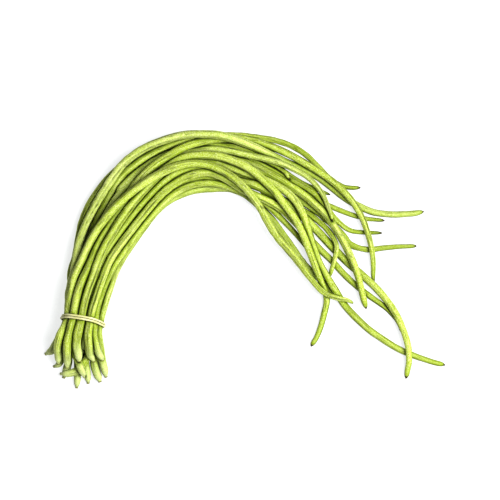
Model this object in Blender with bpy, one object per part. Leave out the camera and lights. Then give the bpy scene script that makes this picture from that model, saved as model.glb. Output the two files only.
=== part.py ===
"""A bunch of long green bean pods, tied near the stem ends and laid on a table.

Each pod follows a route drawn by hand in plan, with its place in the pile. The pile is then settled
under its own weight, so that the pods touch but do not cross, and a rubber band is put round it.
"""

import math

import bpy
import numpy as np

MM = 0.001

# Drawing sheet: squares of 0.9 mm, x to the right and y down the sheet. It is seen from an angle
# above the table, so what lies high in the pile is drawn further up the sheet.
SHEET_STEP = 0.9
SHEET_VIEW_ANGLE = math.radians(78.0)
TIE_ON_SHEET = (83.5, 321.0)
TIE_AXIS_ON_SHEET = (9.0, -53.0)

# Width of a pod of the usual size, as pairs of distance from the stem end and diameter, then the
# same from the tip, and the rounding that every tip has. All are in millimetres. The smallest width
# of the three holds.
POD_DIAMETER = 7.3
STEM_WIDTHS = ((0.0, 2.8), (1.5, 3.2), (4.0, 5.8), (8.0, 7.0), (18.0, 7.3), (30.0, 7.0), (40.0, 6.8),
               (66.0, 6.8), (150.0, POD_DIAMETER))
TIP_WIDTHS = ((0.0, 1.6), (4.0, 3.1), (9.0, 3.8), (20.0, 4.4), (40.0, 5.1), (60.0, 5.7), (100.0, 6.2),
              (230.0, POD_DIAMETER))
TIP_ROUNDING = ((0.0, 1.6), (4.0, 4.2), (9.0, 5.4), (17.0, POD_DIAMETER))

# Rings along a pod: close at both ends, wider along the body.
STEM_RINGS = (0.0, 1.5, 4.0, 8.0, 16.0, 25.0, 36.0, 48.0)
TIP_RINGS = (30.0, 17.0, 9.0, 4.0, 0.0)
BODY_RING_STEP = 15.5
CURVE_STEPS = 16
POD_SIDES = 8
FLAT_DOWN_TILT = math.pi / POD_SIDES
FLAT_FACTOR = math.cos(math.pi / POD_SIDES)

# Rubber band: one loop put twice round the bunch.
BAND_DIAMETER = 1.4
BAND_GAP = 0.3
BAND_TURNS = 2
BAND_POINTS_PER_TURN = 44
BAND_SPREAD = 1.1
BAND_CROSSING_ANGLE = math.radians(217.0)
BAND_CROSSING_SLOPE = 2.6

# The bundle at the band: its size, how fast it widens on each side, and how far the band holds it.
BUNCH_RADIUS = 18.1
BUNCH_FLARE = 0.14
STEM_FLARE = 0.4
STEM_REACH = 22.0
TIE_HEIGHT = 20.0
TIE_REACH = 42.0
NEAR_TIE = 75.0
GRIP_LENGTH = 8.0
GRIP_FADE = 40.0
GRIP = 0.96
RAISED_LENGTH = 12.0
RAISED_FADE = 24.0

# How the pile settles: heights and gaps in millimetres, and shares moved in each step.
LEVEL_HEIGHT = 6.5
POD_GAP = 0.4
PAIR_REACH = 12.0
PAIR_STEPS = 10
SETTLE_STEPS = 420
FREEING_STEPS = 500
CONTACT_ROUNDS = 3
DROP_STEP = 0.35
LATE_DROP = 0.25
EARLY_SLACK = 6.0
FREEING_SLACK = 0.004
LARGEST_OVERLAP = 0.02
PUSH_FACTOR = 0.8
ROUTE_PULL = 0.25
HIDDEN_PULL = 0.01
STIFFNESS = 0.35

GREEN = (0.46, 0.60, 0.10, 1.0)
GREEN_ROUGHNESS = 0.55
CREAM = (0.86, 0.82, 0.56, 1.0)
CREAM_ROUGHNESS = 0.6

# The bend as pairs of sheet points: outer edge and inner edge of the lanes for pods that run
# under the others. A lane of 0 is on the outer edge and a lane of 1 on the inner edge.
LANE_STATIONS = (
    ((67.5, 300), (106, 298)),
    ((74, 262), (119, 262)),
    ((80.5, 240), (125.5, 252)),
    ((92.5, 209), (138, 232)),
    ((110, 178.5), (151, 215)),
    ((138, 151), (167, 201.5)),
    ((165, 140), (182, 193)),
)

# One entry for each pod: diameter factor, millimetres by which its tip's taper is cut short, and the
# route from the stem end. A route point is x and y on the sheet, and a third number is the level in
# the pile, 0 on the table. A lane entry stands for the hidden stretch round the bend: lane position
# and level.
PODS = {
    "pod_01": (1.02, 0, (
        (59, 363.5, 1.5), (59.3, 354, 2), (60, 345, 2.5), (63.2, 331, 3), (68, 318, 3.2),
        (72, 300, 3.2),
        (75, 281, 3.3), (83, 260, 3.5), (91, 240, 3.6), (104, 220, 3.9), (122, 200.5, 4),
        (143, 184.5), (161, 173), (181, 164.5),
        (201, 163.3), (221, 170), (240, 183.5, 4),
        (258, 204, 3.5), (274, 233, 3), (293, 255.5), (312, 280), (326, 294.5, 3.2), (334, 297.5, 3.2),
        (343, 300, 2.5), (353.5, 303.5, 2))),
    "pod_02": (1.03, 0, (
        (67.3, 367.5, 2), (68.2, 358, 2.7), (69.6, 345, 3.4), (71.3, 331, 3.8), (74.5, 318, 4),
        (78, 300, 4), (83, 280, 3.8), (91.5, 260, 3.5),
        (100.5, 240, 3.2), (113.5, 220, 3), (125, 202.5, 2.8), (136, 183, 2.6), (150, 168.5, 2.5),
        (163, 159), (180, 149.5), (200, 142.3, 2.3), (220, 139, 2.2), (240, 138.5, 2.4), (255, 141.5, 3),
        (270, 146.5, 3.5), (300, 160.5, 4), (330, 179, 4), (353, 201.5, 4), (366, 226, 3.5),
        (373, 256, 1.5), (373.5, 283.5, 0))),
    "pod_03": (1.07, 10, (
        (80.3, 361.5, 3), (79, 352, 3.3), (79, 342, 3.6), (80, 330, 3.9), (82, 318, 4),
        (84.5, 303, 4),
        (93.5, 270, 3.7), (102.5, 250), (113.5, 230, 3.3), (126.5, 210, 3), (143, 191.5, 2.8),
        (158, 176, 2.6), (172, 163.5, 2.6),
        (186, 157), (200, 155.3, 2.7), (215, 156.3), (230, 160.3, 2.8), (245, 167, 3), (258, 175.5, 2.8),
        (270, 187), (282, 201, 2.6), (300, 226, 2.5), (313, 257, 2), (325, 290, 1.5), (326.5, 303, 1),
        (319, 332, 0), (311, 346.5, 0))),
    "pod_04": (0.97, 5, (
        (94.5, 361, 2.5), (90.5, 352, 3), (88, 340, 3.5), (90.5, 318, 4), (95, 300, 4),
        (102.5, 280, 3.8),
        (110.5, 260, 3.6), (120, 245, 3.4), (132, 229, 3.2), (147, 210, 3), (163, 191.5, 2.8),
        (180, 178.5, 2.6), (195, 171.5, 2.4), (207, 171, 2.2), (220, 175, 2), (235, 183, 1.8),
        (248, 188.5, 1.6), (262, 194), (279, 205.5, 1.4), (293, 219, 1.2), (306, 234.5, 1),
        (320, 250, 0.8), (336, 266, 0.5), (352, 283, 0), (368, 296, 0), (380, 303.8, 0),
        (390.5, 311.5, 0), (398.5, 322.5, 0), (403, 334, 0))),
    "pod_05": (1.0, 8, (
        (106.3, 377, 0), (103.5, 366, 0.2), (101.5, 352, 0.8), (100, 335, 1.6), (101.3, 320, 2),
        (104.5, 308, 2), (107.5, 299, 2), (112.5, 281, 1.8), (121, 260, 1.5), (141, 229, 1),
        (160, 206, 0.8), (185, 192, 0.5), (200, 189),
        (215, 187.8), (230, 188), (243, 192, 0.5), (267, 213, 0.4), (286, 238, 0.2), (306, 266, 0),
        (318, 277, 0), (338, 296, 0))),
    "pod_06": (0.92, 0, (
        (103.5, 360, 2), (99.5, 350.5, 2.2), (96, 340, 2.5), (95.5, 330, 3), (97, 318, 3),
        (101, 300, 2.8), (112, 270, 2.5), (125, 250, 2.2), (138, 232, 2), (152, 214, 1.8),
        (165, 200, 1.5), (178, 190.5, 1.4), (192, 184, 1.3), (205, 180.3, 1.2), (220, 179.5),
        (233, 182, 1.2), (246, 190, 1), (258, 198), (272, 209, 0.9), (298, 236, 0.6),
        (322, 268, 0.3))),
    "pod_07": (1.02, 40, (
        (45.5, 354, 0.4), (51, 351, 0.6), (57.5, 345.5, 0.8), (61.5, 336, 1.3), (64.5, 325, 1.8),
        (67, 316, 2), (70, 300, 2.2),
        (73, 285, 2.4), (74.4, 270, 2.6), (76.5, 255, 2.6), (79.5, 240, 2.6), (87, 220, 2.7),
        (97, 201, 2.8), (110, 180, 2.9), (126, 160, 3),
        (150, 145.5), (180, 136), (200, 134.8), (220, 136), (235, 139), (250, 144, 3), (275, 156, 2.5),
        (305, 168, 2), (320, 177, 1.8), (335, 188, 1.5), (347, 198.5, 1.2), (358, 205, 0.8),
        (370, 210.5, 0.5), (385, 214, 0), (412, 213.5, 0), (425, 211.3, 0))),
    "pod_08": (0.86, 8, (
        (53.8, 366.5, 0.4), (58.5, 364.5, 0.5), (63, 358.5, 0.8), (66, 348, 1.2), (70, 333, 1.8),
        (75, 318, 2), (77, 305, 2),
        (78, 290), (80, 268), (84.5, 248), (91.5, 230), (102, 210), (113, 190), (126, 171.5),
        (146, 156.5, 2),
        (170, 144, 1.8), (200, 137.3, 1.6), (220, 135), (240, 134.9, 1.6), (255, 136, 1.7),
        (280, 140.4, 2), (302, 150.5, 2), (319, 166.5, 2), (330, 178.2, 1.7), (341, 185, 1.2),
        (351, 187.3, 0.8), (361.5, 187.3, 0.3))),
    "pod_09": (0.98, 0, (
        (63.8, 378, 0), (67, 367, 0), (68.5, 352, 0.3), (69, 335, 0.7), (71, 318, 1), (72.5, 300, 1.2),
        (74, 280), (76, 262), (78, 247), (82, 221), (92, 199, 1.5), (106, 180, 1.6), (124, 164),
        (137, 157, 1.5),
        (152, 150, 1.3), (168, 146, 1), (185, 143, 0.9), (200, 142.5), (225, 144, 1), (245, 149.5, 1.2),
        (266, 159, 1.8), (282, 168.5, 2.6), (286.5, 174.5, 2.8), (290, 180, 2.8))),
    "pod_10": (0.95, 0, (
        (74, 352, 1.5), (77, 335, 2.6), (79, 318, 3), ("lane", 0.30, 2.2), (118, 190, 1.8),
        (130, 176), (146, 163.5, 1.8), (157, 157), (170, 152.5, 1.7), (183, 150), (205, 148.8, 1.7),
        (225, 150.5, 1.8), (250, 155, 2), (270, 159, 2.3), (290, 166.5, 2.7), (308, 176.5, 3),
        (319, 188), (326.5, 202), (332.5, 221, 3))),
    "pod_11": (1.0, 18, (
        (92, 352, 1.2), (92, 336, 1.8), (92, 318, 2), ("lane", 0.55, 1.7), (190, 163, 1.2),
        (212, 163.5, 1.2), (232, 170, 1.3), (252, 176.5, 1.5), (272, 184.5, 2.3), (290, 195, 3),
        (302, 213, 3.2), (309.5, 236, 3.2), (317.5, 262, 3), (331, 286.5, 2.2), (348, 308.5, 1.2),
        (368, 329, 0.8), (393, 346, 0.3), (406, 353, 0), (431, 361.5, 0), (445, 365, 0))),
    "pod_12": (1.06, 26, (
        (100.5, 382, 0.7), (97.2, 372, 1.2), (94.3, 362, 1.3), (92.5, 345, 0.8), (92, 318, 0),
        ("lane", 0.77, 0.1),
        (200, 176, 0.3), (230, 180, 0.4), (255, 186, 0.6), (285, 202, 1.2), (309, 220, 1.6),
        (328.5, 242, 1.6), (347, 261.5, 1.2), (362, 274.5, 1), (378, 289.5, 0.8), (393, 309.5, 0.8),
        (403.5, 331, 0.9), (409, 352, 1), (407.5, 369, 0.5), (405.7, 378.5, 0))),
    "pod_13": (1.06, 40, (
        (82, 356, 1), (83, 338, 1.8), (83.5, 318, 2), ("lane", 0.36, 1.2), (200, 152, 0.9), (220, 154.5),
        (235, 159, 1), (248, 164, 1.2), (272, 174.5, 1.6), (292, 186.5, 2), (311, 199.5, 2.2),
        (326, 214.5), (337, 230), (346, 246, 2.2), (354, 264, 2), (360, 282, 1.5), (366.5, 309, 0.5))),
    "pod_14": (0.9, 0, (
        (84.5, 376.5, 1.2), (81.5, 370, 1.5), (78.5, 362, 1.7), (77.3, 350, 1.6), (77.5, 335, 1.3),
        (79.3, 318, 1), ("lane", 0.23, 0.8),
        (200, 147, 0.6), (220, 148.5, 0.6), (238, 152.5, 0.7), (252, 158, 0.8), (268, 166.5, 1),
        (294, 180.5, 1.2), (313, 192, 1.3), (328, 209, 1), (341, 225.5, 0.6), (350, 230, 0.4),
        (360, 232, 0.2), (383, 233, 0))),
    "pod_15": (0.92, 2, (
        (61, 373.5, 0.6), (66, 373.4, 0.8), (72, 372.8, 1), (77.5, 371, 1), (82, 366, 1),
        (85, 357, 1), (86.5, 345, 1), (87, 333, 1), (87.7, 318, 1), ("lane", 0.44, 0.3),
        (200, 160.5, 0.3), (220, 162.5),
        (240, 167, 0.3), (260, 174, 0.4), (280, 182, 0.5), (300, 191), (322, 202.5, 0.5),
        (341, 210.3, 0.3), (362, 217.5, 0.1), (385.5, 220.5, 0))),
    "pod_16": (0.94, 6, (
        (98, 354, 1), (97, 338, 1), (96, 318, 1), ("lane", 0.68, 1.0), (200, 168, 0.3), (220, 171),
        (240, 176.5), (260, 183, 0.3), (280, 191.5, 0.4), (300, 202, 0.5), (318, 213), (337, 228, 0.5),
        (343, 235.5, 0.4), (354, 246.5, 0.2), (370, 250, 0.1), (390, 247.3, 0), (417.5, 246, 0))),
    "pod_17": (0.88, 0, (
        (77, 388, 0), (78, 370, 0), (76.5, 345, 0), (75.2, 318, 0), ("lane", 0.13, 0.1),
        (200, 141, 0.1), (220, 142.5), (240, 147), (258, 156), (273, 167), (290, 177),
        (308, 185.3, 0.1), (331, 194.5, 0))),
    "pod_18": (0.90, 8, (
        (88.5, 383.5, 0.2), (87, 362, 0.1), (85.5, 345, 0), (83.5, 318, 0), ("lane", 0.61, 0),
        (200, 173, 0), (220, 175.5), (240, 180, 0), (262, 188, 0.2), (284, 199, 0.6), (304, 212, 1),
        (322, 226, 1.4),
        (333, 237, 1.8), (337, 248, 2.0), (335.5, 258, 1.8), (329.7, 277.5, 1.2))),
    "pod_19": (0.92, 0, (
        (86, 350, 1.5), (87, 336, 2.6), (87.7, 318, 3), (97, 280, 2.6), (108, 250, 2.2), (121, 230, 2),
        (136, 209.5, 1.8), (152, 191, 1.6), (170, 177, 1.4), (190, 168.5, 1.2), (202, 167, 1.1),
        (215, 168, 1), (235, 174), (254, 181.5), (269, 193), (286, 211, 1), (303, 231, 0.8))),
}


def remove_objects():
    for obj in list(bpy.data.objects):
        bpy.data.objects.remove(obj)


def material(name, colour, roughness):
    result = bpy.data.materials.new(name)
    result.use_nodes = True
    shader = result.node_tree.nodes["Principled BSDF"]
    shader.inputs["Base Color"].default_value = colour
    shader.inputs["Roughness"].default_value = roughness
    shader.inputs["Metallic"].default_value = 0.0
    return result


def expand_route(route):
    """Route points as rows of x, y, level and pull, with each lane entry turned into its stations."""
    rows = []
    for point in route:
        if point[0] == "lane":
            lane, level = point[1:]
            for outer, inner in LANE_STATIONS:
                x = outer[0] + lane * (inner[0] - outer[0])
                y = outer[1] + lane * (inner[1] - outer[1])
                rows.append((x, y, level, HIDDEN_PULL))
        else:
            level = point[2] if len(point) == 3 else math.nan
            rows.append((point[0], point[1], level, ROUTE_PULL))
    table = np.array(rows, dtype=float)
    known = ~np.isnan(table[:, 2])
    index = np.arange(len(table), dtype=float)
    table[:, 2] = np.interp(index, index[known], table[known, 2])
    return table


def catmull_rom(points):
    """Smooth curve through the rows of points, read at even steps between each pair."""
    first = 2.0 * points[0] - points[1]
    last = 2.0 * points[-1] - points[-2]
    padded = np.vstack([first, points, last])
    t = (np.arange(CURVE_STEPS) / CURVE_STEPS)[:, None]
    pieces = []
    for a, b, c, d in zip(padded[:-3], padded[1:-2], padded[2:-1], padded[3:]):
        pieces.append(0.5 * (2.0 * b + (c - a) * t + (2.0 * a - 5.0 * b + 4.0 * c - d) * t * t
                             + (3.0 * b - a - 3.0 * c + d) * t * t * t))
    pieces.append(points[-1:])
    return np.vstack(pieces)


def table_y(up, height):
    """Place across the table of what is seen at a distance up the sheet and lies at a height."""
    return (up - (height - TIE_HEIGHT) * math.cos(SHEET_VIEW_ANGLE)) / math.sin(SHEET_VIEW_ANGLE)


def ring_positions(length):
    """Distances from the stem end at which a pod has its rings."""
    start = STEM_RINGS[-1]
    end = length - TIP_RINGS[0]
    count = max(1, round((end - start) / BODY_RING_STEP))
    body = [start + (end - start) * k / count for k in range(1, count + 1)]
    tip = [length - distance for distance in TIP_RINGS[1:]]
    return np.array(list(STEM_RINGS) + body + tip)


def width_at(distance, widths):
    return np.interp(distance, [row[0] for row in widths], [row[1] for row in widths])


def pod_radius(distance, length, factor, cut):
    """Radius at a distance from the stem end. The cut makes a blunt tip from a slender one."""
    from_tip = length - distance
    tip = np.minimum(width_at(from_tip + cut, TIP_WIDTHS), width_at(from_tip, TIP_ROUNDING))
    return factor * np.minimum(width_at(distance, STEM_WIDTHS), tip) / 2.0


def fading(distance, length, fade):
    """One as far as a length on both sides of a place, and falling to nothing over the fade."""
    return np.clip((length + fade - np.abs(distance)) / fade, 0.0, 1.0)


class Pile:
    """Every pod's rings in one set of arrays: place, radius, wanted place and pull."""

    def __init__(self):
        self.names = []
        self.slices = []
        sheet, place, radius, pull = [], [], [], []
        start = 0
        for name, (factor, cut, route) in PODS.items():
            table = expand_route(route)
            right = (table[:, 0] - TIE_ON_SHEET[0]) * SHEET_STEP
            up = (TIE_ON_SHEET[1] - table[:, 1]) * SHEET_STEP
            smooth = catmull_rom(np.column_stack([right, up, table[:, 2], table[:, 3]]))
            step = np.sqrt(np.diff(smooth[:, 0]) ** 2 + np.diff(smooth[:, 1]) ** 2)
            distance = np.concatenate([[0.0], np.cumsum(step)])
            rings = ring_positions(distance[-1])
            column = [np.interp(rings, distance, smooth[:, k]) for k in range(4)]
            size = pod_radius(rings, distance[-1], factor, cut)
            height = size + LEVEL_HEIGHT * column[2]
            sheet.append(np.column_stack([column[0], column[1]]))
            place.append(np.column_stack([column[0], table_y(column[1], height), height]))
            radius.append(size)
            pull.append(column[3])
            self.names.append(name)
            self.slices.append(slice(start, start + len(rings)))
            start += len(rings)
        self.sheet = np.vstack(sheet)
        self.place = np.vstack(place)
        self.radius = np.concatenate(radius)
        self.pull = np.clip(np.concatenate(pull), HIDDEN_PULL, ROUTE_PULL)
        self.pod_of = np.concatenate([np.full(part.stop - part.start, k)
                                      for k, part in enumerate(self.slices)])
        starts = np.arange(start - 1)
        self.segments = starts[self.pod_of[:-1] == self.pod_of[1:]]
        self.pairs = None
        axis = np.array([TIE_AXIS_ON_SHEET[0], -TIE_AXIS_ON_SHEET[1]])
        self.tie_axis = axis / math.sqrt(axis[0] * axis[0] + axis[1] * axis[1])
        self.by_tie = self.sheet[:, 0] ** 2 + self.sheet[:, 1] ** 2 < NEAR_TIE ** 2

    def find_pairs(self):
        """Pairs of segments of different pods that are near each other."""
        a = self.segments
        middle = 0.5 * (self.place[a] + self.place[a + 1])
        span = self.place[a + 1] - self.place[a]
        half = 0.5 * np.sqrt(span[:, 0] ** 2 + span[:, 1] ** 2 + span[:, 2] ** 2)
        limit = half[:, None] + half[None, :] + PAIR_REACH
        gap = middle[:, None, :] - middle[None, :, :]
        near = gap[..., 0] ** 2 + gap[..., 1] ** 2 + gap[..., 2] ** 2 < limit * limit
        other = self.pod_of[a][:, None] < self.pod_of[a][None, :]
        first, second = np.nonzero(near & other)
        self.pairs = (a[first], a[second])

    def closest(self):
        """Nearest points of each pair of segments: shares along both, offset and distance."""
        i, j = self.pairs
        p, q = self.place[i], self.place[j]
        u, v = self.place[i + 1] - p, self.place[j + 1] - q
        w = p - q
        uu, uv, vv = dot(u, u), dot(u, v), dot(v, v)
        uw, vw = dot(u, w), dot(v, w)
        cross = uu * vv - uv * uv
        s = np.where(cross > 1e-6 * uu * vv, (uv * vw - vv * uw) / np.maximum(cross, 1e-12), 0.5)
        s = np.clip(s, 0.0, 1.0)
        t = np.clip((uv * s + vw) / vv, 0.0, 1.0)
        s = np.clip((uv * t - uw) / uu, 0.0, 1.0)
        offset = w + s[:, None] * u - t[:, None] * v
        return s, t, offset, np.sqrt(dot(offset, offset))

    def push_apart(self):
        """Move touching pods apart along the line between their nearest points."""
        i, j = self.pairs
        s, t, offset, distance = self.closest()
        r_i = self.radius[i] * (1.0 - s) + self.radius[i + 1] * s
        r_j = self.radius[j] * (1.0 - t) + self.radius[j + 1] * t
        overlap = r_i + r_j + POD_GAP - distance
        hit = overlap > 0.0
        if not hit.any():
            return 0.0
        i, j, s, t = i[hit], j[hit], s[hit], t[hit]
        direction = offset[hit] / np.maximum(distance[hit], 1e-6)[:, None]
        push = overlap[hit][:, None] * direction
        move = np.zeros_like(self.place)
        weight = np.zeros(len(self.place))
        shares = ((i, 1.0 - s, 1.0), (i + 1, s, 1.0), (j, 1.0 - t, -1.0), (j + 1, t, -1.0))
        for ring, share, sign in shares:
            for k in range(3):
                move[:, k] += np.bincount(ring, sign * share * push[:, k], len(self.place))
            weight += np.bincount(ring, share, len(self.place))
        self.place += PUSH_FACTOR * move / np.maximum(weight, 1.0)[:, None]
        return float(overlap.max())

    def bend_back(self):
        """Draw each ring towards the curve that its neighbours make, as a stiff pod would lie."""
        inner = np.arange(1, len(self.place) - 1)
        inner = inner[(self.pod_of[inner - 1] == self.pod_of[inner + 1])]
        before = self.place[inner] - self.place[inner - 1]
        after = self.place[inner + 1] - self.place[inner]
        level = np.zeros((len(inner), 1))
        wanted_before = np.hstack([self.sheet[inner] - self.sheet[inner - 1], level])
        wanted_after = np.hstack([self.sheet[inner + 1] - self.sheet[inner], level])
        a = np.sqrt(wanted_before[:, 0] ** 2 + wanted_before[:, 1] ** 2)
        b = np.sqrt(wanted_after[:, 0] ** 2 + wanted_after[:, 1] ** 2)
        bend = (after - wanted_after) / b[:, None] - (before - wanted_before) / a[:, None]
        self.place[inner] += STIFFNESS * bend * (a * b / (a + b))[:, None]

    def hold_route(self):
        """Draw each ring sideways towards its place on the sheet."""
        self.place[:, 0] += self.pull * (self.sheet[:, 0] - self.place[:, 0])
        self.place[:, 1] += self.pull * (table_y(self.sheet[:, 1], self.place[:, 2]) - self.place[:, 1])

    def along_tie_axis(self):
        return self.place[:, 0] * self.tie_axis[0] + self.place[:, 1] * self.tie_axis[1]

    def lowest(self):
        """Lowest height of each ring: on the table, or on the band where it runs under the bunch."""
        on_band = fading(self.along_tie_axis(), RAISED_LENGTH, RAISED_FADE) * self.by_tie
        on_table = self.radius * FLAT_FACTOR
        return on_table + on_band * (self.radius - on_table + BAND_DIAMETER + 2.0 * BAND_GAP)

    def lift_off_table(self):
        self.place[:, 2] = np.maximum(self.place[:, 2], self.lowest())

    def squeeze_at_tie(self, radius):
        """Keep the pods inside a round bundle where the band goes."""
        along = self.along_tie_axis()
        across = self.place[:, 0] * self.tie_axis[1] - self.place[:, 1] * self.tie_axis[0]
        height = self.place[:, 2] - TIE_HEIGHT
        out = np.sqrt(across * across + height * height)
        near = (along > -STEM_REACH) & (along < TIE_REACH) & self.by_tie
        flare = np.where(along > 0.0, BUNCH_FLARE, STEM_FLARE)
        allowed = radius + flare * np.maximum(np.abs(along) - GRIP_LENGTH, 0.0)
        excess = np.where(near, np.maximum(out + self.radius - allowed, 0.0), 0.0)
        scale = excess / np.maximum(out, 1e-6)
        self.place[:, 0] -= scale * across * self.tie_axis[1]
        self.place[:, 1] += scale * across * self.tie_axis[0]
        self.place[:, 2] -= scale * height

    def settle(self):
        """Let the pods down on the table and on each other, then free the last overlaps."""
        self.place[:, 2] += self.lowest() - self.radius
        past_tie = np.maximum(self.along_tie_axis(), 0.0)
        weight = 1.0 - GRIP * fading(past_tie, GRIP_LENGTH, GRIP_FADE) * self.by_tie
        for step in range(SETTLE_STEPS):
            if step % PAIR_STEPS == 0:
                self.find_pairs()
            early = 1.0 - step / SETTLE_STEPS
            self.place[:, 2] -= DROP_STEP * (LATE_DROP + (1.0 - LATE_DROP) * early) * weight
            self.hold_route()
            self.bend_back()
            for _ in range(CONTACT_ROUNDS):
                self.squeeze_at_tie(BUNCH_RADIUS + EARLY_SLACK * early)
                self.push_apart()
                self.lift_off_table()
        for step in range(FREEING_STEPS):
            if step % PAIR_STEPS == 0:
                self.find_pairs()
            self.squeeze_at_tie(BUNCH_RADIUS + FREEING_SLACK * step)
            overlap = self.push_apart()
            self.lift_off_table()
            if overlap < LARGEST_OVERLAP:
                break


def dot(a, b):
    return a[:, 0] * b[:, 0] + a[:, 1] * b[:, 1] + a[:, 2] * b[:, 2]


def tube(name, points, radii, finish, collection, closed=False):
    """A round tube through the points, flat side down, with a radius at each point."""
    curve = bpy.data.curves.new(name, "CURVE")
    curve.dimensions = "3D"
    curve.twist_mode = "Z_UP"
    curve.bevel_depth = MM
    curve.bevel_resolution = POD_SIDES // 2 - 2
    curve.use_fill_caps = True
    spline = curve.splines.new("POLY")
    spline.points.add(len(points) - 1)
    spline.use_cyclic_u = closed
    for knot, point, radius in zip(spline.points, points, radii):
        knot.co = (point[0] * MM, point[1] * MM, point[2] * MM, 1.0)
        knot.radius = radius
        knot.tilt = FLAT_DOWN_TILT
    curve.materials.append(finish)
    obj = bpy.data.objects.new(name, curve)
    collection.objects.link(obj)
    return obj


def band_path(pile):
    """The band's middle line: twice round the pods, with one turn crossing over the other."""
    count = BAND_TURNS * BAND_POINTS_PER_TURN
    across = np.array([pile.tie_axis[1], -pile.tie_axis[0], 0.0])
    up = np.array([0.0, 0.0, 1.0])
    axis = np.array([pile.tie_axis[0], pile.tie_axis[1], 0.0])
    points = []
    for k in range(count):
        turn = 2.0 * math.pi * k / BAND_POINTS_PER_TURN
        half = 0.5 * (turn - BAND_CROSSING_ANGLE)
        side = max(-1.0, min(1.0, -BAND_CROSSING_SLOPE * math.sin(half)))
        apart = 2.0 * BAND_SPREAD * side
        lift = math.sqrt(max(0.0, (BAND_DIAMETER + BAND_GAP) ** 2 - apart * apart))
        lift = lift if math.cos(half) > 0.0 else 0.0
        normal = math.cos(turn) * across + math.sin(turn) * up
        points.append(hull_point(pile, BAND_SPREAD * side, normal, axis, across, up, lift))
    return np.array(points)


def hull_point(pile, offset, normal, axis, across, up, lift):
    """Where a strand touches the bundle in one direction, at an offset along the tie's axis."""
    best = None
    for sample in (-BAND_DIAMETER / 2.0, 0.0, BAND_DIAMETER / 2.0):
        for centre, radius in pod_sections(pile, offset + sample, axis):
            reach = sum(centre * normal) + radius
            if best is None or reach > best[0]:
                best = (reach, centre, radius)
    clearance = BAND_DIAMETER / 2.0 + BAND_GAP + lift
    centre, radius = best[1], best[2]
    flat = sum(centre * across) * across + sum(centre * up) * up
    return flat + offset * axis + (radius + clearance) * normal


def pod_sections(pile, offset, axis):
    """Middle and radius of each pod where it crosses the plane at an offset along the tie's axis."""
    sections = []
    for part in pile.slices:
        place = pile.place[part]
        along = place[:, 0] * axis[0] + place[:, 1] * axis[1]
        for k in range(len(place) - 1):
            if (along[k] - offset) * (along[k + 1] - offset) <= 0.0:
                share = (offset - along[k]) / (along[k + 1] - along[k])
                centre = place[k] + share * (place[k + 1] - place[k])
                radius = pile.radius[part][k] * (1.0 - share) + pile.radius[part][k + 1] * share
                sections.append((centre, radius))
                break
    return sections


def move_origin(objects):
    """Put the origin at the bottom centre of the bunch."""
    bpy.context.view_layer.update()
    corners = [obj.matrix_world @ vertex.co for obj in objects for vertex in obj.to_mesh().vertices]
    low = [min(corner[k] for corner in corners) for k in range(3)]
    high = [max(corner[k] for corner in corners) for k in range(3)]
    for obj in objects:
        obj.to_mesh_clear()
        obj.location = (-(low[0] + high[0]) / 2.0, -(low[1] + high[1]) / 2.0, -low[2])


def main():
    remove_objects()
    collection = bpy.data.collections.new("green_bean_bunch")
    bpy.context.scene.collection.children.link(collection)
    pod_skin = material("pod_skin", GREEN, GREEN_ROUGHNESS)
    band_rubber = material("band_rubber", CREAM, CREAM_ROUGHNESS)
    pile = Pile()
    pile.settle()
    objects = []
    for name, part in zip(pile.names, pile.slices):
        objects.append(tube(name, pile.place[part], pile.radius[part], pod_skin, collection))
    path = band_path(pile)
    radii = [BAND_DIAMETER / 2.0] * len(path)
    objects.append(tube("rubber_band", path, radii, band_rubber, collection, closed=True))
    move_origin(objects)
    return pile


if __name__ == "__main__":
    main()
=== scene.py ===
"""Looks for a tied bunch of long green bean pods.

Every pod is swept along the middle line of its solid in the frame, with seed swellings, furrows and
seams in its skin. The rubber band is swept along its own solid in the same way. All lengths are in
metres, unless a name says otherwise.
"""

import math

import bmesh
import bpy
from bpy.props import FloatProperty, FloatVectorProperty, IntProperty, PointerProperty
from bpy.types import Operator, Panel, PropertyGroup
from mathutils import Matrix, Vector


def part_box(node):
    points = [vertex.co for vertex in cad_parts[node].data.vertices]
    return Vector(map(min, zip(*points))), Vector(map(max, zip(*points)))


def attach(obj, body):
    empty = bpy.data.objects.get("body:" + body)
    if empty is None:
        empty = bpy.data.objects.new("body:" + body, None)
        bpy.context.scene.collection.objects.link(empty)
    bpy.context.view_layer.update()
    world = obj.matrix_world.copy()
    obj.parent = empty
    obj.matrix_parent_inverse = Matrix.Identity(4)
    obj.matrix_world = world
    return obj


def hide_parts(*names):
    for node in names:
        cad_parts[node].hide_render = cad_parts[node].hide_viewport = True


bl_info = {
    "name": "Green bean bunch",
    "version": (1, 0, 0),
    "blender": (4, 5, 0),
    "location": "3D View > Sidebar > Bean bunch",
    "description": "Builds the skin, the band and the stage of a tied bunch of long green beans",
    "category": "Add Mesh",
}

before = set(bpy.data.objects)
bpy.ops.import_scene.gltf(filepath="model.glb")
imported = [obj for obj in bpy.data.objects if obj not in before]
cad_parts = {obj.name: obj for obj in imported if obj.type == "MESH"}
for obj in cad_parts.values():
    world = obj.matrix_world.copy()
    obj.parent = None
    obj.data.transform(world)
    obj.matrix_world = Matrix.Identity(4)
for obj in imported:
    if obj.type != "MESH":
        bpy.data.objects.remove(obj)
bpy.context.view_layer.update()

BODY = "root"
BAND_NODE = "rubber_band"
POD_NODES = sorted(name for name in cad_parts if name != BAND_NODE)

# Reading the rings of a solid: the distance that joins its loose triangles, then a length between
# the longest edge within a ring and the shortest edge from it to the next one, at a pod's tip and on
# the band, and the number of rings below which a pod has been read wrongly.
WELD = 0.00002
TIP_RING_EDGE = 0.0025
BAND_RING_EDGE = 0.0011
LEAST_RINGS = 4

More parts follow.
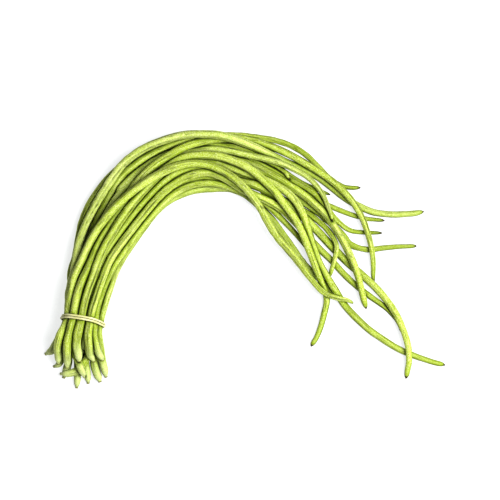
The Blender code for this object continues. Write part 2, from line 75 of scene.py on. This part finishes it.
# Steps from one pod to the next: the turn of its seams, in radians, the shift of its patterns along
# it, and the place of its own tone in a noise.
TURN_STEP = 2.4
SHIFT_STEP = 0.37
OWN_STEP = 1.7

# A pod's ends: the tip narrows to this share of its ring over this length, and the relief of the skin
# starts and is full at these distances from each end.
TIP_SHARE = 0.35
TIP_LENGTH = 0.0016
RELIEF_FROM_TIP = (0.001, 0.014)
RELIEF_FROM_STEM = (0.002, 0.016)

# How often each form of the skin changes in a metre along a pod, and how much lumps change from one
# side of it to the other.
LUMP_RATE = 38.0
LUMP_ACROSS = 0.5
FURROW_RATE = 11.0
SEED_RATE = 16.0
SEED_WANDER_RATE = 45.0

# Furrows lie where their pattern is this close to its middle. The two seams start at these shares of
# the way across a pod. Their depth and the shade painted into them are shares of a furrow's.
FURROW_EDGE = 0.022
SEAM_STARTS = (0.9, 0.93)
SEAM_DEPTH = 0.45
SEAM_SHADE = 0.6

# How far seeds stray from an even spacing, counted in spacings, and the values of their pattern
# between which they come up. The row keeps that pattern apart from the one that moves them.
SEED_WANDER = 1.6
SEED_SHOWS = (0.3, 0.7)
SEED_ROW = 40.0

# The skin stays this far above the table, which adds painted shade like a pod at this share of its
# distance.
LEAST_HEIGHT = 0.00005
TABLE_SHADE = 0.5

# How often each pattern of the pods' colour changes in a metre, on the two axes across a pod and
# along it. Fine lines lie where their pattern is this close to its middle.
PATCH_RATE = (60.0, 60.0, 14.0)
STREAK_RATE = (700.0, 700.0, 60.0)
MOTTLE_RATE = (880.0, 880.0, 760.0)
SPECKLE_RATE = (1700.0, 1700.0, 1400.0)
LINE_RATE = (230.0, 230.0, 8.0)
LINE_EDGE = 0.014

# Distances to the next pod at which the painted shade beside it starts and is full, then those of the
# darker painted shade in the crevice, and distances from the ends at which the dry rim, the pale neck
# and the withered tip do.
# The withered tip's are multiplied by its least share plus the pod's own noise, so tips differ.
SHADE_BESIDE_GAP = (0.0046, 0.0008)
CREVICE_SHADE_GAP = (0.0020, 0.0005)
DRY_RIM = (0.0014, 0.0004)
PALE_NECK = (0.024, 0.002)
WITHERED_TIP = (0.003, 0.0012)
WITHERED_LEAST = 0.4

# Heights of the fine grain in the bump of each material.
POD_GRAIN = 0.0004
BAND_GRAIN = 0.0002

# The band's strand: share of its thickness that rounds its edges, the steps of each round edge, and
# how often its patterns change in a metre, as above.
EDGE_ROUND = 0.45
EDGE_STEPS = 5
BAND_CLOUD_RATE = (300.0, 300.0, 160.0)
BAND_GRAIN_RATE = (2600.0, 2600.0, 900.0)

# The table: the distance from its middle to its sides, the tint of its own light, and how often its
# grain changes in a metre.
TABLE_REACH = 3.0
TABLE_LIGHT = (0.98, 0.99, 1.0)
TABLE_RATE = 30.0

# The lamp is a wide disc above the table on the right, and shines on the middle of the bunch.
LAMP_PLACE = (0.72, -0.28, 1.5)
LAMP_SIZE = 1.1

# The camera looks at the point that lies in the middle of the picture, which shows this width there.
# A gamma below one darkens the middle tones.
VIEW_POINT = (0.00457, 0.00575, 0.020)
PICTURE_WIDTH = 0.450
SENSOR_WIDTH_MM = 36.0
FARTHEST_SEEN = 50.0
GAMMA = 0.76


def linear(red, green, blue):
    """A colour in linear light, from the 0 to 255 values that a screen shows."""
    def channel(value):
        share = value / 255.0
        return share / 12.92 if share <= 0.04045 else ((share + 0.055) / 1.055) ** 2.4
    return (channel(red), channel(green), channel(blue))


def opaque(colour):
    return (colour[0], colour[1], colour[2], 1.0)


class Value:
    """One output of a node. Arithmetic on it adds Math nodes to the same tree."""

    def __init__(self, nodes, socket):
        self.nodes = nodes
        self.socket = socket

    def math(self, operation, *values):
        return self.nodes.add("ShaderNodeMath", {"operation": operation}, dict(enumerate(values)))

    def output(self, name):
        """Another output of the same node."""
        return Value(self.nodes, self.socket.node.outputs[name])

    def __add__(self, other):
        return self.math("ADD", self, other)

    def __radd__(self, other):
        return self.math("ADD", other, self)

    def __sub__(self, other):
        return self.math("SUBTRACT", self, other)

    def __rsub__(self, other):
        return self.math("SUBTRACT", other, self)

    def __mul__(self, other):
        return self.math("MULTIPLY", self, other)

    def __rmul__(self, other):
        return self.math("MULTIPLY", other, self)

    def __truediv__(self, other):
        return self.math("DIVIDE", self, other)

    def __rtruediv__(self, other):
        return self.math("DIVIDE", other, self)

    def __abs__(self):
        return self.math("ABSOLUTE", self)

    def cosine(self):
        return self.math("COSINE", self)

    def at_least(self, other):
        return self.math("MAXIMUM", self, other)

    def at_most(self, other):
        return self.math("MINIMUM", self, other)

    def rise(self, start, end):
        """Nothing before start, one after end, and smooth between them. It falls if end is lower."""
        low, high = (start, end) if start < end else (end, start)
        ends = (0.0, 1.0) if start < end else (1.0, 0.0)
        return self.nodes.add("ShaderNodeMapRange", {"interpolation_type": "SMOOTHSTEP"},
                              {0: self, 1: low, 2: high, 3: ends[0], 4: ends[1]})


class Nodes:
    """Adds nodes to one tree, with their settings and the values or links of their sockets."""

    def __init__(self, tree):
        self.tree = tree

    def add(self, kind, settings=None, values=None, output=0):
        node = self.tree.nodes.new(kind)
        for name, setting in (settings or {}).items():
            setattr(node, name, setting)
        for key, value in (values or {}).items():
            if isinstance(value, Value):
                self.tree.links.new(value.socket, node.inputs[key])
            else:
                node.inputs[key].default_value = value
        return Value(self, node.outputs[output]) if node.outputs else None

    def mix_colour(self, share, first, second):
        """First colour where share is 0, second where it is 1."""
        # A Mix node has sockets for each kind of value. These numbers are of those for colours.
        values = {0: share, 6: first, 7: second}
        return self.add("ShaderNodeMix", {"data_type": "RGBA"}, values, output=2)

    def vector(self, x, y, z):
        return self.add("ShaderNodeCombineXYZ", None, {0: x, 1: y, 2: z})

    def parts(self, vector):
        """A vector taken apart, with the outputs X, Y and Z."""
        return self.add("ShaderNodeSeparateXYZ", None, {0: vector})

    def vector_math(self, operation, *vectors):
        return self.add("ShaderNodeVectorMath", {"operation": operation}, dict(enumerate(vectors)))

    def noise(self, vector, detail, roughness=0.5, scale=1.0):
        values = {"Vector": vector, "Scale": scale, "Detail": detail, "Roughness": roughness}
        return self.add("ShaderNodeTexNoise", None, values)

    def pattern(self, vector, rate, detail, roughness=0.5):
        """A noise that changes this often in a metre along each axis."""
        return self.noise(self.vector_math("MULTIPLY", vector, rate), detail, roughness)

    def position(self):
        return self.add("GeometryNodeInputPosition")

    def store(self, geometry, name, kind, value):
        """Keeps a value with each point of the geometry, under a name."""
        settings = {"data_type": kind, "domain": "POINT"}
        values = {"Geometry": geometry, "Name": name, "Value": value}
        return self.add("GeometryNodeStoreNamedAttribute", settings, values)

    def stored(self, name, kind="FLOAT"):
        """A kept value, read in a tree that makes a mesh."""
        return self.add("GeometryNodeInputNamedAttribute", {"data_type": kind}, {"Name": name})

    def attribute(self, name, output="Fac"):
        """A kept value, read in a material."""
        return self.add("ShaderNodeAttribute", {"attribute_name": name}, None, output)


def vertex_ring(start, longest):
    """The vertices that are joined to one vertex by short edges only."""
    ring = {start}
    waiting = [start]
    while waiting:
        vertex = waiting.pop()
        for edge in vertex.link_edges:
            other = edge.other_vert(vertex)
            if other not in ring and edge.calc_length() < longest:
                ring.add(other)
                waiting.append(other)
    return ring


def beside(ring, seen):
    """The vertices next to a ring that haven't been seen yet."""
    found = {edge.other_vert(vertex) for vertex in ring for edge in vertex.link_edges}
    return found - seen


def middle_and_radius(ring):
    places = [vertex.co for vertex in sorted(ring, key=lambda vertex: vertex.index)]
    middle = sum(places, Vector()) / len(places)
    radius = sum((place - middle).length for place in places) / len(places)
    return middle, radius


def welded(node):
    """A copy of a node's mesh with its loose triangles joined."""
    mesh = bmesh.new()
    mesh.from_mesh(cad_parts[node].data)
    bmesh.ops.remove_doubles(mesh, verts=mesh.verts, dist=WELD)
    mesh.verts.index_update()
    mesh.verts.ensure_lookup_table()
    return mesh


def pod_rings(node):
    """Middle and radius of each ring of a pod's solid, from the stem end to the tip."""
    mesh = welded(node)
    smallest = min(mesh.faces, key=lambda face: max(edge.calc_length() for edge in face.edges))
    ring = vertex_ring(smallest.verts[0], TIP_RING_EDGE)
    seen = set(ring)
    rings = []
    while ring:
        rings.append(middle_and_radius(ring))
        ring = beside(ring, seen)
        seen |= ring
    mesh.free()
    rings.reverse()
    return rings


def band_rings(node):
    """Middle and radius of each ring of the band's solid, in order round its closed loop."""
    mesh = welded(node)
    ring = vertex_ring(mesh.verts[0], BAND_RING_EDGE)
    seen = set(ring)
    rings = []
    while ring:
        rings.append(middle_and_radius(ring))
        near = beside(ring, seen)
        ring = set()
        if near:
            first = min(near, key=lambda vertex: vertex.index)
            ring = vertex_ring(first, BAND_RING_EDGE)
        seen |= ring
    mesh.free()
    return rings


def linked(name, data):
    """A new object in the scene."""
    obj = bpy.data.objects.new(name, data)
    bpy.context.scene.collection.objects.link(obj)
    return obj


def neighbours_of(node):
    """One mesh object with the solids of all the other pieces."""
    joined = bmesh.new()
    for other in sorted(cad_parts):
        if other != node:
            joined.from_mesh(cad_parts[other].data)
    mesh = bpy.data.meshes.new("neighbours")
    joined.to_mesh(mesh)
    joined.free()
    return linked("neighbours", mesh)


def spine_curve(name, rings, closed):
    """A curve object through the middles of the rings, with their radii."""
    curve = bpy.data.curves.new(name, "CURVE")
    curve.dimensions = "3D"
    spline = curve.splines.new("POLY")
    spline.points.add(len(rings) - 1)
    spline.use_cyclic_u = closed
    for point, (middle, radius) in zip(spline.points, rings):
        point.co = (middle.x, middle.y, middle.z, 1.0)
        point.radius = radius
    return linked(name, curve)


def new_tree(name, inputs):
    """A tree with a geometry input, then these ones, and a geometry output."""
    tree = bpy.data.node_groups.new(name, "GeometryNodeTree")
    tree.is_modifier = True
    tree.interface.new_socket("Geometry", in_out="INPUT", socket_type="NodeSocketGeometry")
    for label, kind, value in inputs:
        socket = tree.interface.new_socket(label, in_out="INPUT", socket_type="NodeSocket" + kind)
        if value is not None:
            socket.default_value = value
    tree.interface.new_socket("Geometry", in_out="OUTPUT", socket_type="NodeSocketGeometry")
    return tree


def smooth_spine(nodes, given):
    """The first nodes of each tree: the curve made smooth, with rings at an even step."""
    spine = nodes.add("GeometryNodeCurveSplineType", {"spline_type": "CATMULL_ROM"}, {"Curve": given})
    return nodes.add("GeometryNodeResampleCurve", {"mode": "LENGTH"},
                     {"Curve": spine, "Length": given.output("Ring step")})


def finish_tree(nodes, mesh, given):
    """The last nodes of each tree: smooth faces, real geometry and a material."""
    mesh = nodes.add("GeometryNodeSetShadeSmooth", None, {"Geometry": mesh})
    mesh = nodes.add("GeometryNodeRealizeInstances", None, {"Geometry": mesh})
    mesh = nodes.add("GeometryNodeSetMaterial", None,
                     {"Geometry": mesh, "Material": given.output("Material")})
    nodes.add("NodeGroupOutput", None, {"Geometry": mesh})


def pod_tree(settings):
    """Node tree that turns a pod's middle line into its skin."""
    tree = new_tree("Bean pod skin", (
        ("Ring step", "Float", settings.ring_step),
        ("Sides", "Int", settings.sides),
        ("Seed spacing", "Float", settings.seed_spacing),
        ("Seed swell", "Float", settings.seed_swell),
        ("Furrow depth", "Float", settings.furrow_depth),
        ("Unevenness", "Float", settings.unevenness),
        ("Twist", "Float", settings.twist),
        ("Number", "Float", 0.0),
        ("Neighbours", "Object", None),
        ("Material", "Material", None)))
    nodes = Nodes(tree)
    given = nodes.add("NodeGroupInput")
    skin = pod_tube(nodes, given)
    skin = pod_relief(nodes, given, skin)
    skin = pod_surroundings(nodes, given, skin)
    finish_tree(nodes, skin, given)
    return tree


def pod_tube(nodes, given):
    """A plain tube with a small tip, which keeps the place of each of its points on the pod."""
    along = nodes.add("GeometryNodeSplineParameter", None, None, output="Length")
    whole = nodes.add("GeometryNodeSplineLength")
    radius = nodes.add("GeometryNodeInputRadius")
    spine = smooth_spine(nodes, given)
    spine = nodes.store(spine, "from_stem", "FLOAT", along)
    spine = nodes.store(spine, "from_tip", "FLOAT", whole - along)
    spine = nodes.store(spine, "middle", "FLOAT_VECTOR", nodes.position())
    spine = nodes.store(spine, "thickness", "FLOAT", radius)
    turn = given.output("Number") * TURN_STEP + nodes.stored("from_stem") * given.output("Twist")
    spine = nodes.add("GeometryNodeSetCurveTilt", None, {"Curve": spine, "Tilt": turn})

    outline = nodes.add("GeometryNodeCurvePrimitiveCircle", {"mode": "RADIUS"},
                        {"Resolution": given.output("Sides"), "Radius": 1.0})
    outline = nodes.store(outline, "ring", "FLOAT_VECTOR", nodes.position())
    narrowing = TIP_SHARE + (1.0 - TIP_SHARE) * nodes.stored("from_tip").rise(0.0, TIP_LENGTH)
    return nodes.add("GeometryNodeCurveToMesh", None,
                     {"Curve": spine, "Profile Curve": outline, "Scale": radius * narrowing,
                      "Fill Caps": True})


def pod_relief(nodes, given, skin):
    """Lumps, seed swellings, furrows and seams, and what the material needs of them."""
    number = given.output("Number")
    from_stem = nodes.stored("from_stem")
    thickness = nodes.stored("thickness")
    shifted = from_stem + number * SHIFT_STEP
    ring = nodes.parts(nodes.stored("ring", "FLOAT_VECTOR"))
    across, side = ring.output("X"), ring.output("Y")
    place = nodes.vector(across * thickness, side * thickness, shifted)
    skin = nodes.store(skin, "skin", "FLOAT_VECTOR", place)
    skin = nodes.store(skin, "tint", "FLOAT", number)

    ends = nodes.stored("from_tip").rise(*RELIEF_FROM_TIP) * from_stem.rise(*RELIEF_FROM_STEM)
    lump = nodes.noise(nodes.vector(across * LUMP_ACROSS, side * LUMP_ACROSS, shifted * LUMP_RATE), 2.0)
    lines = nodes.noise(nodes.vector(across, side, shifted * FURROW_RATE), 1.0)
    furrow = abs(lines - 0.5).rise(FURROW_EDGE, 0.0) * ends
    seam = across.rise(SEAM_STARTS[0], 1.0) + (0.0 - across).rise(SEAM_STARTS[1], 1.0)
    wander = nodes.noise(nodes.vector(shifted * SEED_WANDER_RATE, number, 0.0), 1.0)
    spaces = from_stem / given.output("Seed spacing") + wander * SEED_WANDER
    beat = (spaces * (2.0 * math.pi)).cosine()
    strength = nodes.noise(nodes.vector(shifted * SEED_RATE, number + SEED_ROW, 0.0), 0.0)
    seeds = (beat * 0.5 + 0.5) * (1.0 - across * across) * strength.rise(*SEED_SHOWS)

    height = (lump - 0.5) * given.output("Unevenness") * thickness
    height = height + seeds * given.output("Seed swell") - furrow * given.output("Furrow depth")
    height = height - seam * given.output("Furrow depth") * SEAM_DEPTH
    # The furrows and seams, kept for the shade that the material paints into them and for their
    # roughness.
    skin = nodes.store(skin, "furrow", "FLOAT", furrow + seam * SEAM_SHADE * ends)
    outward = nodes.vector_math("SUBTRACT", nodes.position(), nodes.stored("middle", "FLOAT_VECTOR"))
    outward = nodes.vector_math("NORMALIZE", outward)
    offset = nodes.add("ShaderNodeVectorMath", {"operation": "SCALE"},
                       {"Vector": outward, "Scale": height * ends})
    return nodes.add("GeometryNodeSetPosition", None, {"Geometry": skin, "Offset": offset})


def pod_surroundings(nodes, given, skin):
    """The skin kept above the table, with its distance to the nearest other piece or the table."""
    place = nodes.parts(nodes.position())
    high = place.output("Z")
    on_table = nodes.vector(place.output("X"), place.output("Y"), high.at_least(LEAST_HEIGHT))
    skin = nodes.add("GeometryNodeSetPosition", None, {"Geometry": skin, "Position": on_table})
    others = nodes.add("GeometryNodeObjectInfo", {"transform_space": "ORIGINAL"},
                       {"Object": given.output("Neighbours")}, output="Geometry")
    gap = nodes.add("GeometryNodeProximity", {"target_element": "FACES"}, {0: others},
                    output="Distance")
    # The material paints shade by this distance.
    return nodes.store(skin, "gap", "FLOAT", gap.at_most(high * TABLE_SHADE))


def band_tree(settings):
    """Node tree that turns the band's middle line into a flat, round-edged strand."""
    tree = new_tree("Rubber band strand", (
        ("Ring step", "Float", settings.ring_step),
        ("Width", "Float", settings.width),
        ("Thickness", "Float", settings.thickness),
        ("Centre", "Vector", None),
        ("Material", "Material", None)))
    nodes = Nodes(tree)
    given = nodes.add("NodeGroupInput")
    along = nodes.add("GeometryNodeSplineParameter", None, None, output="Length")
    spine = nodes.store(smooth_spine(nodes, given), "along", "FLOAT", along)
    outward = nodes.vector_math("SUBTRACT", nodes.position(), given.output("Centre"))
    spine = nodes.add("GeometryNodeSetCurveNormal", {"mode": "FREE"},
                      {"Curve": spine, "Normal": outward})
    outline = nodes.add("GeometryNodeCurvePrimitiveQuadrilateral", {"mode": "RECTANGLE"},
                        {"Width": given.output("Thickness"), "Height": given.output("Width")})
    rounding = given.output("Thickness") * EDGE_ROUND
    outline = nodes.add("GeometryNodeFilletCurve", {"mode": "POLY"},
                        {"Curve": outline, "Count": EDGE_STEPS, "Radius": rounding})
    outline = nodes.store(outline, "ring", "FLOAT_VECTOR", nodes.position())
    strand = nodes.add("GeometryNodeCurveToMesh", None, {"Curve": spine, "Profile Curve": outline})
    ring = nodes.parts(nodes.stored("ring", "FLOAT_VECTOR"))
    place = nodes.vector(ring.output("X"), ring.output("Y"), nodes.stored("along"))
    strand = nodes.store(strand, "skin", "FLOAT_VECTOR", place)
    finish_tree(nodes, strand, given)
    return tree


def swept(obj, tree, inputs):
    """Mesh object that a node tree makes from a curve object. The curve object is removed."""
    modifier = obj.modifiers.new("Sweep", "NODES")
    modifier.node_group = tree
    for item in tree.interface.items_tree:
        if item.in_out == "INPUT" and item.name in inputs:
            modifier[item.identifier] = inputs[item.name]
    bpy.context.view_layer.update()
    depsgraph = bpy.context.evaluated_depsgraph_get()
    mesh = bpy.data.meshes.new_from_object(obj.evaluated_get(depsgraph), depsgraph=depsgraph)
    name = obj.name
    curve = obj.data
    bpy.data.objects.remove(obj)
    bpy.data.curves.remove(curve)
    return linked(name, mesh)


def new_material(name):
    """An empty material, and the nodes to be added to it."""
    material = bpy.data.materials.new(name)
    material.use_nodes = True
    material.node_tree.nodes.clear()
    return material, Nodes(material.node_tree)


def finish_material(nodes, values):
    """The last nodes of each material: a Principled shader with these values, and the output."""
    shader = nodes.add("ShaderNodeBsdfPrincipled", None, values)
    nodes.add("ShaderNodeOutputMaterial", None, {"Surface": shader})


def pod_material(settings):
    """Fresh bean skin: grained and streaked yellow green, pale towards the stem end, with painted shade
    in its fine lines, furrows and seams and beside other pods or the table, and with a dry rim and a
    withered tip."""
    material, nodes = new_material("Bean pod skin")
    skin = nodes.attribute("skin", "Vector")
    furrow = nodes.attribute("furrow")
    from_stem = nodes.attribute("from_stem")
    gap = nodes.attribute("gap")
    crevice_shade = gap.rise(*CREVICE_SHADE_GAP)

    own = nodes.noise(nodes.vector(nodes.attribute("tint") * OWN_STEP, 0.0, 0.0), 0.0)
    patch = nodes.pattern(skin, PATCH_RATE, 2.0)
    streak = nodes.pattern(skin, STREAK_RATE, 2.0, 0.6)
    mottle = nodes.pattern(skin, MOTTLE_RATE, 3.0, 0.65)
    speckle = nodes.pattern(skin, SPECKLE_RATE, 2.0, 0.7)
    line = abs(nodes.pattern(skin, LINE_RATE, 1.0) - 0.5).rise(LINE_EDGE, 0.0)
    withered = (nodes.attribute("from_tip") / (own + WITHERED_LEAST)).rise(*WITHERED_TIP)

    # Each layer covers the ones before it by a share, which is 0 where it doesn't show: tones of
    # stretches and of whole pods first, then grain, then painted shade in lines, furrows and beside
    # other pieces, with the pale neck among it, and both ends last.
    layers = (
        (patch.rise(0.35, 0.65), settings.green),
        (own.rise(0.35, 0.7) * 0.55, settings.green),
        (own.rise(0.5, 0.25) * 0.35, settings.pale),
        (mottle.rise(0.46, 0.66) * 0.45, settings.pale),
        (mottle.rise(0.52, 0.34) * 0.4, settings.speckle_and_shade),
        (streak.rise(0.5, 0.75) * 0.3, settings.green),
        (speckle.rise(0.52, 0.66) * 0.7, settings.pale),
        (speckle.rise(0.48, 0.34) * 0.65, settings.speckle_and_shade),
        # Painted shade in the grooves of the fine lines, the furrows and the seams.
        (line * 0.42, settings.deep_shade),
        (furrow * 0.5, settings.deep_shade),
        # Painted shade beside other pods and the table, and darker painted shade in the crevices two
        # layers down.
        (gap.rise(*SHADE_BESIDE_GAP) * 0.72, settings.speckle_and_shade),
        (from_stem.rise(*PALE_NECK) * 0.5, settings.pale),
        (crevice_shade * 0.95, settings.deep_shade),
        (from_stem.rise(*DRY_RIM), settings.dry),
        (withered, settings.tip))
    colour = opaque(settings.ripe)
    for share, tone in layers:
        colour = nodes.mix_colour(share, colour, opaque(tone))

    height = mottle * 0.7 + streak * 0.3 + speckle * 0.35 - line * 0.4
    bump = nodes.add("ShaderNodeBump", None,
                     {"Strength": settings.bump, "Distance": POD_GRAIN, "Height": height})
    roughness = 0.44 + mottle * 0.14 + furrow * 0.3 + crevice_shade * 0.3
    finish_material(nodes, {"Base Color": colour, "Roughness": roughness,
                            "Specular IOR Level": 0.24, "Normal": bump})
    return material


def band_material(settings):
    """Pale natural rubber with a faint grain."""
    material, nodes = new_material("Pale rubber")
    skin = nodes.attribute("skin", "Vector")
    cloud = nodes.pattern(skin, BAND_CLOUD_RATE, 2.0)
    grain = nodes.pattern(skin, BAND_GRAIN_RATE, 2.0)
    colour = nodes.mix_colour(cloud.rise(0.35, 0.65), opaque(settings.colour), opaque(settings.shade))
    bump = nodes.add("ShaderNodeBump", None,
                     {"Strength": 0.25, "Distance": BAND_GRAIN, "Height": grain})
    finish_material(nodes, {"Base Color": colour, "Roughness": 0.42 + cloud * 0.12, "Normal": bump})
    return material


def table_material(settings):
    """Matt white table that gives some light of its own."""
    material, nodes = new_material("White table")
    place = nodes.add("ShaderNodeTexCoord", None, None, output="Object")
    grain = nodes.noise(place, 2.0, scale=TABLE_RATE)
    finish_material(nodes, {"Base Color": opaque(settings.floor), "Roughness": 0.75 + grain * 0.1,
                            "Emission Color": opaque(TABLE_LIGHT), "Emission Strength": settings.glow})
    return material


def make_table(settings):
    mesh = bpy.data.meshes.new("table")
    plane = bmesh.new()
    bmesh.ops.create_grid(plane, x_segments=1, y_segments=1, size=TABLE_REACH)
    plane.to_mesh(mesh)
    plane.free()
    mesh.materials.append(table_material(settings))
    linked("table", mesh)


def make_light(scene, settings):
    world = bpy.data.worlds.new("White room")
    world.use_nodes = True
    background = world.node_tree.nodes["Background"]
    background.inputs["Color"].default_value = (1.0, 1.0, 1.0, 1.0)
    background.inputs["Strength"].default_value = settings.sky
    scene.world = world
    light = bpy.data.lights.new("window", "AREA")
    light.shape = "DISK"
    light.size = LAMP_SIZE
    light.energy = settings.key
    lamp = linked("window", light)
    lamp.location = LAMP_PLACE
    lamp.rotation_euler = (-Vector(LAMP_PLACE)).to_track_quat("-Z", "Y").to_euler()


def make_camera(scene, settings):
    """The camera at the photo's angle, and the tones of its picture."""
    camera = bpy.data.cameras.new("photo_view")
    camera.sensor_width = SENSOR_WIDTH_MM
    camera.lens = SENSOR_WIDTH_MM * settings.distance / PICTURE_WIDTH
    camera.clip_end = FARTHEST_SEEN
    view = linked("photo_view", camera)
    back = Vector((0.0, -math.cos(settings.elevation), math.sin(settings.elevation)))
    view.location = Vector(VIEW_POINT) + settings.distance * back
    view.rotation_euler = (math.pi / 2.0 - settings.elevation, 0.0, 0.0)
    scene.camera = view
    scene.view_settings.view_transform = "Standard"
    scene.view_settings.gamma = GAMMA


def length_setting(name, description, default, least=0.0):
    return FloatProperty(name=name, description=description, default=default, min=least,
                         unit="LENGTH")


def colour_setting(name, description, red, green, blue):
    return FloatVectorProperty(name=name, description=description, default=linear(red, green, blue),
                               size=3, subtype="COLOR")


class PodSettings(PropertyGroup):
    """Sizes and colours of the pods."""

    ring_step: length_setting(
        "Ring step", "Distance between the cross sections of a pod's skin", 0.001, 0.0003)
    sides: IntProperty(
        name="Sides", description="Faces round a pod", default=32, min=8)
    seed_spacing: length_setting("Seed spacing", "Mean distance between two seeds", 0.0125)
    seed_swell: length_setting("Seed swell", "How far a seed lifts the skin", 0.00034)
    furrow_depth: length_setting("Furrow depth", "Depth of the furrows that run along a pod", 0.00022)
    unevenness: FloatProperty(
        name="Unevenness", description="Share by which a pod's thickness changes along it",
        default=0.32, subtype="FACTOR")
    twist: FloatProperty(
        name="Twist", description="Turn of a pod's seams for each metre", default=4.0)
    bump: FloatProperty(
        name="Bump", description="Strength of the fine grain of the skin",
        default=0.7, subtype="FACTOR")
    ripe: colour_setting("Ripe", "Yellow green of the brighter stretches", 198, 208, 112)
    green: colour_setting("Green", "Green of the fresher stretches and streaks", 168, 184, 50)
    pale: colour_setting("Pale", "Pale speckles and stem end", 210, 217, 172)
    # Deep is painted shade in grooves and crevices. The next colour is the tone of darker grain and
    # also painted shade beside other pods and the table.
    deep_shade: colour_setting("Deep", "Dark green of furrows, fine lines and crevices", 32, 46, 0)
    speckle_and_shade: colour_setting("Flank", "Deeper green of speckles, and of skin near other pods", 126, 146, 0)
    dry: colour_setting("Dry", "Cut stem end", 128, 124, 66)
    tip: colour_setting("Tip", "Withered tip", 60, 52, 24)


class BandSettings(PropertyGroup):
    """Sizes and colours of the rubber band."""

    ring_step: length_setting("Ring step", "Distance between the cross sections of the band", 0.0009)
    width: length_setting("Width", "Width of one strand", 0.0019)
    thickness: length_setting("Thickness", "Thickness of one strand", 0.0012)
    colour: colour_setting("Colour", "Cream of the rubber", 208, 206, 164)
    shade: colour_setting("Shade", "Yellower patches of the rubber", 194, 192, 136)


class StageSettings(PropertyGroup):
    """Camera, table and light."""

    elevation: FloatProperty(
        name="Elevation", description="Height of the camera above the table, as an angle",
        default=math.radians(78.0), subtype="ANGLE")
    distance: length_setting("Distance", "Distance from the camera to the bunch", 4.0)
    floor: FloatVectorProperty(
        name="Floor", description="Colour of the table",
        default=(0.24, 0.24, 0.24), size=3, subtype="COLOR")
    glow: FloatProperty(
        name="Glow", description="Light that the table itself gives", default=0.8)
    sky: FloatProperty(
        name="Sky", description="Strength of the light from all sides", default=0.27)
    key: FloatProperty(
        name="Key", description="Power of the soft light", default=55.0)


class BEAN_OT_pods(Operator):
    """Make the skin of every pod"""

    bl_idname = "bean_bunch.pods"
    bl_label = "Make pods"

    def execute(self, context):
        settings = context.scene.bean_pods
        tree = pod_tree(settings)
        material = pod_material(settings)
        for number, node in enumerate(POD_NODES):
            rings = pod_rings(node)
            if len(rings) < LEAST_RINGS:
                raise RuntimeError(f"{node} has too few rings to follow: {len(rings)}")
            curve = spine_curve("bean_" + node, rings, closed=False)
            others = neighbours_of(node)
            inputs = {"Number": float(number), "Neighbours": others, "Material": material}
            pod = swept(curve, tree, inputs)
            # The object of the neighbours goes with its mesh.
            bpy.data.meshes.remove(others.data)
            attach(pod, BODY)
            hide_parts(node)
        return {"FINISHED"}


class BEAN_OT_band(Operator):
    """Make the rubber band"""

    bl_idname = "bean_bunch.band"
    bl_label = "Make rubber band"

    def execute(self, context):
        settings = context.scene.bean_band
        rings = band_rings(BAND_NODE)
        low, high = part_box(BAND_NODE)
        curve = spine_curve("band_strand", rings, closed=True)
        inputs = {"Centre": (low + high) / 2.0, "Material": band_material(settings)}
        band = swept(curve, band_tree(settings), inputs)
        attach(band, BODY)
        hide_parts(BAND_NODE)
        return {"FINISHED"}


class BEAN_OT_stage(Operator):
    """Make the table, the light and the camera"""

    bl_idname = "bean_bunch.stage"
    bl_label = "Make stage"

    def execute(self, context):
        settings = context.scene.bean_stage
        make_table(settings)
        make_light(context.scene, settings)
        make_camera(context.scene, settings)
        return {"FINISHED"}


class BEAN_PT_bunch(Panel):
    """Buttons and sizes of the bean bunch"""

    bl_label = "Bean bunch"
    bl_idname = "BEAN_PT_bunch"
    bl_space_type = "VIEW_3D"
    bl_region_type = "UI"
    bl_category = "Bean bunch"

    def draw(self, context):
        for operator, group in STEPS:
            box = self.layout.box()
            box.operator(operator.bl_idname)
            settings = getattr(context.scene, group)
            for name in settings.bl_rna.properties.keys():
                if name not in ("rna_type", "name"):
                    box.prop(settings, name)


STEPS = ((BEAN_OT_stage, "bean_stage"), (BEAN_OT_pods, "bean_pods"), (BEAN_OT_band, "bean_band"))
GROUPS = {"bean_pods": PodSettings, "bean_band": BandSettings, "bean_stage": StageSettings}
CLASSES = (PodSettings, BandSettings, StageSettings, BEAN_OT_pods, BEAN_OT_band, BEAN_OT_stage,
           BEAN_PT_bunch)


def register():
    for item in CLASSES:
        bpy.utils.register_class(item)
    for name, group in GROUPS.items():
        setattr(bpy.types.Scene, name, PointerProperty(type=group))


def unregister():
    for name in GROUPS:
        delattr(bpy.types.Scene, name)
    for item in reversed(CLASSES):
        bpy.utils.unregister_class(item)


def main():
    register()
    bpy.ops.bean_bunch.stage()
    bpy.ops.bean_bunch.pods()
    bpy.ops.bean_bunch.band()


if __name__ == "__main__":
    main()
